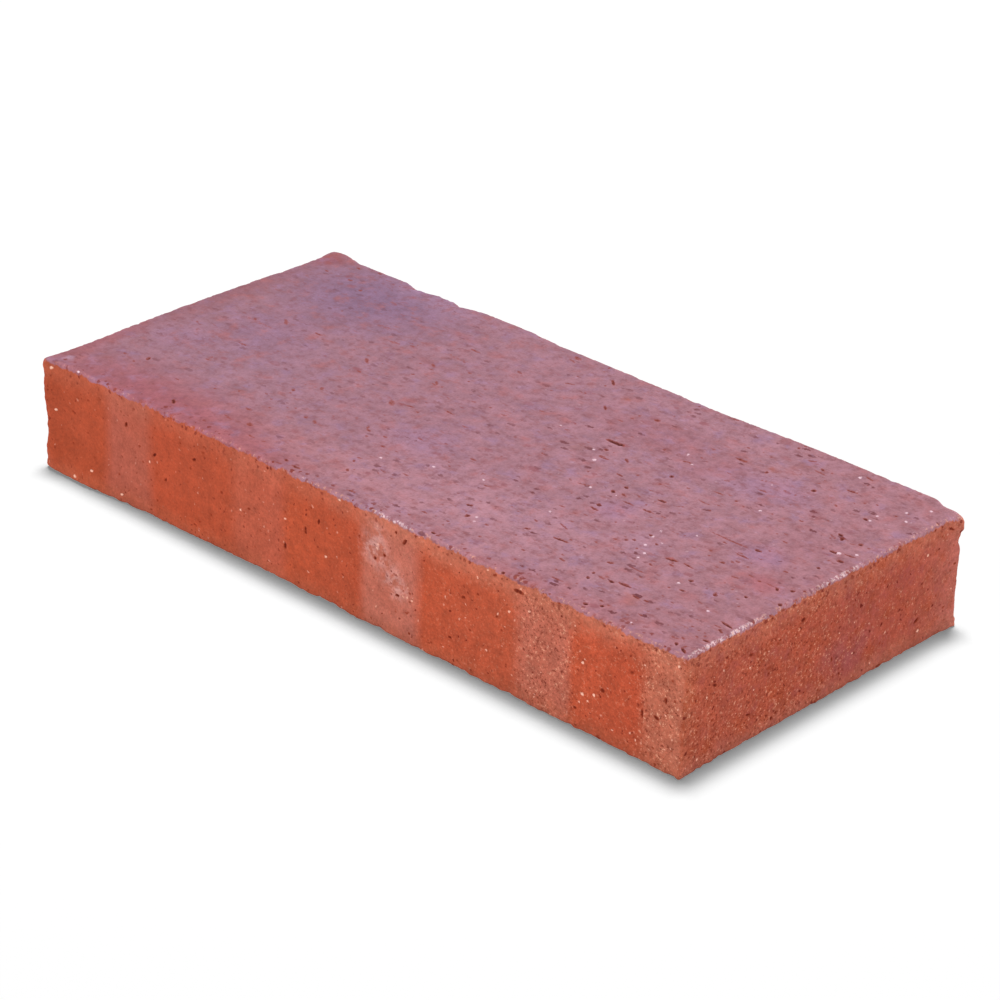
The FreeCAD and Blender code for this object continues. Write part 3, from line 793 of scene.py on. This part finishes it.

# %% [markdown]
# ### Sand
# The clay holds sand of about half a millimetre, and it mixed unevenly. Three noises of 0.6, 2 and 6 mm
# multiply the colour up and down, less on the wearing face, which the wire smoothed. On the wearing face
# the 2 mm noise also stands for painted light and shade on its soft undulations.

# %% Sand
busy = step(along, -100, 55, 0.8, 1.0)
sand = add("TexNoise", {"Vector": place, "Scale": 1 / 0.6, "Detail": 2.0, "Roughness": 0.7})
mottle_and_relief_shade = add("TexNoise", {"Vector": place, "Scale": 1 / 2.0, "Detail": 3.0, "Roughness": 0.65})
broad = add("TexNoise", {"Vector": place, "Scale": 1 / 6.0, "Detail": 2.0, "Roughness": 0.5})
SWINGS = ((sand, step(is_top, 0, 1, 0.75, 0.50)), (mottle_and_relief_shade, step(is_top, 0, 1, 0.72, 0.6)), (broad, 0.50))
light = 0.0
for pattern, depth in SWINGS:
    swing = add("Math", {0: pattern, 1: 0.5}, operation="SUBTRACT")
    light = add("Math", {0: swing, 1: depth, 2: light}, operation="MULTIPLY_ADD")
light = add("Math", {0: light, 1: busy, 2: 1.0}, operation="MULTIPLY_ADD")
skin_colour = add("VectorMath", {0: skin_colour, "Scale": light}, operation="SCALE")

# On the wearing face the lows of the 2 mm noise are painted darker still: painted shade in its undulations.
mottle_lows = scaled(step(mottle_and_relief_shade, 0.49, 0.27), is_top)
skin_colour = tinted(skin_colour, colour("#965860"), scaled(mottle_lows, 0.45))
print("nodes with sand:", len(tree.nodes))

# %% [markdown]
# ### Grit
# Grog and coarse sand show as dark, white, red and lilac grains. They are drawn with Voronoi cells: each
# cell holds at most one grain, and the cell's random colour decides whether it is there, how big it is
# and how strong. A finer wobble keeps the grains from being round.

# %% How a layer of grit is made
FINE_WOBBLE = (1.1, 1.1, 1.1)
fine_noise = add("TexNoise", {"Vector": place, "Scale": 1 / 0.8, "Detail": 1.0}, out="Color")
fine_wobble = add("VectorMath", {0: fine_noise, 1: HALVES}, operation="SUBTRACT")


def grit(cell, present, smallest, largest, seed, stretch=(1.0, 1.0, 1.0)):
    """Grains about one cell (mm) apart: a share of the cells has one, its radius a share of the cell."""
    spot = add("VectorMath", {0: place, 1: stretch}, operation="MULTIPLY")
    shifted = add("VectorMath", {0: spot, 1: (seed * 17.3, seed * 5.1, seed * 9.7)}, operation="ADD")
    ragged = add("VectorMath", {0: fine_wobble, 1: FINE_WOBBLE, 2: shifted}, operation="MULTIPLY_ADD")
    cells = add("TexVoronoi", {"Vector": ragged, "Scale": 1 / cell}, out="Distance")
    luck, size, strength = [add("SeparateColor", {0: cells.node.outputs["Color"]}, out=part)
                            for part in ("Red", "Green", "Blue")]
    radius = add("MapRange", {"Value": size, "To Min": smallest, "To Max": largest})
    inside = add("Math", {0: radius, 1: cells}, operation="SUBTRACT")
    grain = step(inside, -0.03, 0.15)
    there = add("Math", {0: luck, 1: present}, operation="LESS_THAN")
    return scaled(scaled(grain, there), add("MapRange", {"Value": strength, "To Min": 0.4, "To Max": 1.0}))


# %% Where the sides are gritty
off_top = add("Math", {0: 1.0, 1: is_top}, operation="SUBTRACT")
right_half = step(along, -40, 60, 0.35, 1.0)
cluster_noise = add("TexNoise", {"Vector": place, "Scale": 1 / 5.0, "Detail": 4.0, "Roughness": 0.65})
end_side = scaled(on_end, step(across, 25, -15, 0.45, 1.0))
# The paler bands are grittier: white is full of grit, grey has less.
GRIT_BANDS = (
    (-102, "#707070"), (27, "#909090"), (53, "#909090"), (57, "#ffffff"), (69, "#ffffff"),
    (73, "#b0b0b0"), (88, "#b0b0b0"), (92, "#ffffff"), (102, "#ffffff"),
)
long_side = scaled(scaled(right_half, ramp(band_place, GRIT_BANDS)), step(on_end, 0, 1, 1.0, 0.0))
gritty = add("Math", {0: long_side, 1: end_side}, operation="ADD")
gritty = scaled(scaled(gritty, off_top), step(cluster_noise, 0.38, 0.6, 0.5, 1.0))
end_only = scaled(on_end, off_top)
orange_blotches = scaled(step(cluster_noise, 0.5, 0.68), scaled(end_only, 0.45))
skin_colour = tinted(skin_colour, colour("#b44c28"), orange_blotches)
purple_blotches = scaled(step(cluster_noise, 0.48, 0.30), scaled(end_only, 0.35))
skin_colour = tinted(skin_colour, colour("#a04e50"), purple_blotches)

# %% Grit on the sides
# The specks stand partly for grit, and partly for the painted shade and painted highlights of the crumbly
# relief on the sides.
specks = add("TexNoise", {"Vector": place, "Scale": 1 / 0.75, "Detail": 3.0, "Roughness": 0.8})
dark_specks_and_shade = scaled(step(specks, 0.46, 0.34), scaled(gritty, 0.85))
skin_colour = tinted(skin_colour, colour("#64160a"), dark_specks_and_shade)
pale_specks_and_highlights = scaled(step(specks, 0.57, 0.67), scaled(gritty, 0.75))
skin_colour = tinted(skin_colour, colour("#f4b494"), pale_specks_and_highlights)
side_share = step(along, -60, 60, 0.65, 1.0)
dark_grit = grit(1.3, 0.30, 0.16, 0.40, 1)
skin_colour = tinted(skin_colour, colour("#6c1608"), scaled(scaled(dark_grit, off_top), side_share))

# %% Grit along the border and white grit
border_grit = grit(1.6, 0.5, 0.22, 0.48, 6)
above_border = scaled(is_top, step(across, FRONT + 6, FRONT + 1))
below_border = scaled(off_top, step(height, CREST - 6, CREST - 1.5))
near_border = add("Math", {0: above_border, 1: below_border}, operation="MAXIMUM")
skin_colour = tinted(skin_colour, colour("#843024"), scaled(border_grit, near_border))
white_grit = grit(1.6, 0.26, 0.08, 0.22, 3)
grain_colour = tinted(colour("#ffc8b0"), colour("#f8d4e0"), is_top)
white_share = scaled(right_half, step(is_top, 0, 1, 1.0, 0.35))
skin_colour = tinted(skin_colour, grain_colour, scaled(white_grit, white_share))

# %% Grit on the wearing face
drag_grit = grit(1.8, 0.55, 0.06, 0.44, 4, (0.55, 1.0, 1.0))
drag_clusters = add("TexNoise", {"Vector": place, "Scale": 1 / 8.0, "Detail": 2.0, "Roughness": 0.6})
top_share = scaled(scaled(is_top, step(along, -70, 60, 0.5, 1.0)), step(drag_clusters, 0.38, 0.6, 0.3, 1.0))
skin_colour = tinted(skin_colour, colour("#743a40"), scaled(drag_grit, top_share))
red_grit = grit(3.1, 0.4, 0.12, 0.40, 5, (0.6, 1.0, 1.0))
skin_colour = tinted(skin_colour, colour("#98525a"), scaled(scaled(red_grit, is_top), 0.6))
lilac_grit = grit(2.6, 0.3, 0.10, 0.30, 7, (0.8, 1.0, 1.0))
skin_colour = tinted(skin_colour, colour("#c29ab4"), scaled(lilac_grit, scaled(top_share, 0.6)))
print("nodes with grit:", len(tree.nodes))

# %% [markdown]
# ### Slits, pits and standing grains
# The mesh says where they are. Inside a slit the clay is raw iron red, and it is painted darker still,
# near black, as painted shade in the hollow, with a lighter rim. The standing grains are pale. The specks
# eat into each mark, so that no two have the same outline.

# %% Slits and grains that the mesh holds
ragged_edge = add("Math", {0: specks, 1: 0.5}, operation="SUBTRACT")


def held_mark(name, raggedness):
    """How much of a mark the mesh holds at each place, with a ragged edge."""
    held = add("Attribute", out="Fac", attribute_name=name)
    eaten = scaled(step(held, 0, 0.2), raggedness)
    return add("Math", {0: ragged_edge, 1: eaten, 2: held}, operation="MULTIPLY_ADD")


torn_and_shaded_here = held_mark("torn_and_shaded", 1.6)
pale_here = held_mark("pale", 1.8)
# Painted shade: the marks go from a darker red rim to near black inside, for the raw clay and the shade in
# their hollows.
rim_colour = tinted(colour("#96351a"), colour("#a04c40"), is_top)
slit_and_shade_colour = tinted(colour("#5c1204"), colour("#541a18"), is_top)
skin_colour = tinted(skin_colour, rim_colour, step(torn_and_shaded_here, 0.05, 0.5, 0.0, 0.8))
skin_colour = tinted(skin_colour, slit_and_shade_colour, step(torn_and_shaded_here, 0.4, 1.0, 0.0, 0.9))
skin_colour = tinted(skin_colour, grain_colour, step(pale_here, 0.1, 0.7, 0.0, 0.95))

# %% [markdown]
# ### Tooth and gloss
# What is too fine for the mesh is bump: sand and drag lines, each 0.05 mm high. The flashed face began to
# melt in the flame, so it is a touch smoother than the sides.

# %% Bump, roughness and output
SAND_HEIGHT = 0.05
grain_height = add("Math", {0: scaled(sand, SAND_HEIGHT), 1: scaled(streaks, SAND_HEIGHT)}, operation="ADD")
bump = add("Bump", {"Height": grain_height, "Distance": MM, "Strength": 0.9}, out="Normal")
SIDE_ROUGHNESS, FLASHED_ROUGHNESS = 0.92, 0.84
roughness = step(is_top, 0, 1, SIDE_ROUGHNESS, FLASHED_ROUGHNESS)
shader = tree.nodes.new("ShaderNodeBsdfPrincipled")
tree.links.new(skin_colour, shader.inputs["Base Color"])
tree.links.new(roughness, shader.inputs["Roughness"])
tree.links.new(bump, shader.inputs["Normal"])
shader.inputs["IOR"].default_value = 1.5
shader.inputs["Specular IOR Level"].default_value = 0.2
output = tree.nodes.new("ShaderNodeOutputMaterial")
tree.links.new(shader.outputs[0], output.inputs[0])
paver.data.materials.clear()
paver.data.materials.append(material)
print("material nodes:", len(tree.nodes))

# %% [markdown]
# ## The floor
# A pale table top of matt card. It gives a little light of its own, which only the camera sees, so that
# it reads as white while the paver's shadow stays on it.

# %% Lay the floor
FLOOR_GLOW = 0.19
floor_material = bpy.data.materials.new("pale_table")
floor_material.use_nodes = True
tree = floor_material.node_tree
tree.nodes.clear()
card = add("BsdfDiffuse", {"Color": colour("#fdfdfd")})
glow = add("Emission", {"Color": (1, 1, 1, 1), "Strength": FLOOR_GLOW})
seen = add("LightPath", out="Is Camera Ray")
shown = add("AddShader", {0: card, 1: glow})
mixed = add("MixShader", {0: seen, 1: card, 2: shown})
floor_output = tree.nodes.new("ShaderNodeOutputMaterial")
tree.links.new(mixed, floor_output.inputs[0])

FLOOR_HALF = 3.0
SQUARE = ((-1, -1), (1, -1), (1, 1), (-1, 1))
floor_corners = [(x_way * FLOOR_HALF, y_way * FLOOR_HALF, BED * MM) for x_way, y_way in SQUARE]
floor_mesh = bpy.data.meshes.new("floor")
floor_mesh.from_pydata(floor_corners, [], [(0, 1, 2, 3)])
floor = bpy.data.objects.new("floor", floor_mesh)
floor.data.materials.append(floor_material)
bpy.context.scene.collection.objects.link(floor)
print("floor:", 2 * FLOOR_HALF, "m square, at, mm:", round(float(BED), 2))

# %% [markdown]
# ## The lamps
# A big soft lamp hangs overhead and leans back a little, so the paver's shadow is a soft rim along its
# near foot. Low fill lamps light its four sides. They light only the paver, as flags and grids would make
# them do, so they don't wash that shadow out. Full level is the light at which a white card renders
# white, and the levels that reach a side add up to about that.

# %% Hang the lamps
only_paver = bpy.data.collections.new("lit_by_fill")
only_paver.objects.link(paver)


def softbox(name, turn, rise, away, size, share, alone=False):
    """A lamp aimed at the paver: turn and rise in degrees, distance and size in m, share of full level."""
    lamp = bpy.data.lights.new(name, "AREA")
    lamp.shape = "RECTANGLE"
    lamp.size, lamp.size_y = size
    lamp.energy = share * math.pi ** 2 * away ** 2
    hung = bpy.data.objects.new(name, lamp)
    turn, rise = math.radians(turn), math.radians(rise)
    towards = Vector((math.sin(turn) * math.cos(rise), -math.cos(turn) * math.cos(rise), math.sin(rise)))
    hung.location = towards * away + Vector((0, 0, TOP / 2 * MM))
    hung.rotation_euler = towards.to_track_quat("Z", "Y").to_euler()
    bpy.context.scene.collection.objects.link(hung)
    if alone:
        hung.light_linking.receiver_collection = only_paver
    print(name, "at, m:", [round(v, 2) for v in hung.location])


BEHIND = math.degrees(around) + 180
softbox("overhead", BEHIND, 82.2, 3.0, (0.72, 0.72), 0.83)
FILL_RISE, FILL_AWAY, FILL_SIZE = 3, 1.6, (0.9, 0.18)
FILLS = (
    ("front_fill", -10, 0.53), ("end_fill", 95, 0.42), ("back_fill", 185, 0.50), ("left_fill", -90, 0.40),
)
for name, turn, share in FILLS:
    softbox(name, turn, FILL_RISE, FILL_AWAY, FILL_SIZE, share, alone=True)

# %% [markdown]
# ## The surround
# The room is white to the camera and in reflections, and gives the paver only a little light, so that
# the lamps shape it.

# %% Surround and view
world = bpy.data.worlds.new("studio")
bpy.context.scene.world = world
world.use_nodes = True
tree = world.node_tree
tree.nodes.clear()
ROOM_SHARE = 0.05
path = add("LightPath", out="Is Camera Ray")
looked_at = add("Math", {0: path, 1: path.node.outputs["Is Glossy Ray"]}, operation="MAXIMUM")
looked_at = add("Math", {0: looked_at, 1: path.node.outputs["Is Transmission Ray"]}, operation="MAXIMUM")
strength = add("MapRange", {"Value": looked_at, "To Min": ROOM_SHARE, "To Max": 1.0})
background = add("Background", {"Color": (1, 1, 1, 1), "Strength": strength})
world_output = tree.nodes.new("ShaderNodeOutputWorld")
tree.links.new(background, world_output.inputs[0])
bpy.context.scene.view_settings.view_transform = "Standard"
print("room gives", ROOM_SHARE, "of full level")

# %% [markdown]
# ## The end

# %% Finish
import json
